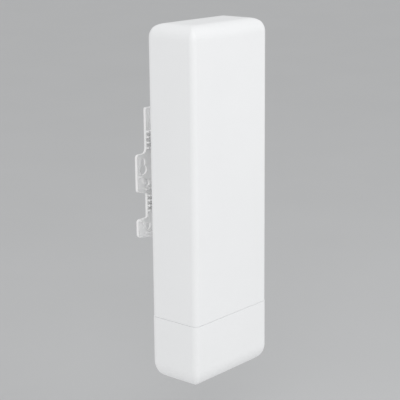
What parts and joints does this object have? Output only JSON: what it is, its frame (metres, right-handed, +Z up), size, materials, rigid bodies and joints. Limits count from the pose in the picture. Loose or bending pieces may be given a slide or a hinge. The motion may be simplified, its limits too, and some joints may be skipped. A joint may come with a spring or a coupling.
{
  "type": "outdoor wireless bridge",
  "caption": "Tall white weatherproof wireless bridge with a slip-on bottom cover over its network sockets, hooked on a ribbed wall and pole bracket with keyholes and strap seats.",
  "frame": {"origin": "in the wall plane behind the bracket, on the middle of its width and half way up the bracket", "axes": "+X to the right of someone who faces the front, +Y towards the wall or pole, +Z up"},
  "size_m": [0.0834, 0.0617, 0.265],
  "materials": {
    "white_plastic": "fine satin moulding",
    "bracket_plastic": "satin moulding",
    "dark_rubber": "matt",
    "grey_plastic": "satin",
    "black_plastic": "satin",
    "clear_plastic": "clear gloss",
    "circuit_board": "solder resist",
    "steel": "plated",
    "brass": "turned",
    "gold": "gold flash",
    "aluminium": "sheet",
    "tinplate": "tinned"
  },
  "bodies": {
    "bracket": {"mount_bracket": "bracket_plastic"},
    "housing": {"front_shell": "white_plastic", "rear_cover": "white_plastic", "rear_gasket": "dark_rubber", "rear_screw_1": "steel", "rear_screw_2": "steel", "rear_screw_3": "steel", "rear_screw_4": "steel", "rear_screw_5": "steel", "rear_screw_6": "steel", "port_plate": "white_plastic", "lan_jack_left": "black_plastic", "lan_jack_right": "black_plastic", "lan_contacts_left": "gold", "lan_contacts_right": "gold", "reset_switch": "black_plastic", "ground_screw": "steel", "vent_plug": "dark_rubber", "main_board": "circuit_board", "board_screw_1": "steel", "board_screw_2": "steel", "board_screw_3": "steel", "board_screw_4": "steel", "radio_shield": "tinplate", "processor_shield": "tinplate", "heat_sink": "aluminium", "lan_transformer_left": "black_plastic", "lan_transformer_right": "black_plastic", "power_inductor": "grey_plastic", "bulk_capacitor_left": "aluminium", "bulk_capacitor_right": "aluminium", "status_light_1": "clear_plastic", "status_light_2": "clear_plastic", "status_light_3": "clear_plastic", "status_light_4": "clear_plastic", "light_pipe": "clear_plastic", "reflector_plate": "aluminium", "reflector_standoff_left": "brass", "reflector_standoff_right": "brass", "reflector_screw_1": "steel", "reflector_screw_2": "steel", "reflector_screw_3": "steel", "reflector_screw_4": "steel", "antenna_patch_upper": "aluminium", "antenna_patch_lower": "aluminium", "patch_spacer_1": "grey_plastic", "patch_spacer_2": "grey_plastic", "patch_spacer_3": "grey_plastic", "patch_spacer_4": "grey_plastic", "coax_lead_upper": "black_plastic", "coax_lead_lower": "black_plastic"},
    "cover": {"bottom_cover": "white_plastic", "cable_grommet": "dark_rubber"},
    "button": {"reset_button": "grey_plastic"}
  },
  "joints": [
    {"name": "housing_lift", "type": "slide", "parent": "bracket", "child": "housing", "axis": [0, 0, 1], "range_m": [0, 0.015]},
    {"name": "cover_pull", "type": "slide", "parent": "housing", "child": "cover", "axis": [0, 0, -1], "range_m": [0, 0.06]},
    {"name": "reset_press", "type": "slide", "parent": "housing", "child": "button", "axis": [0, 0, 1], "range_m": [0, 0.0008], "stiffness_N_per_m": 2000}
  ]
}
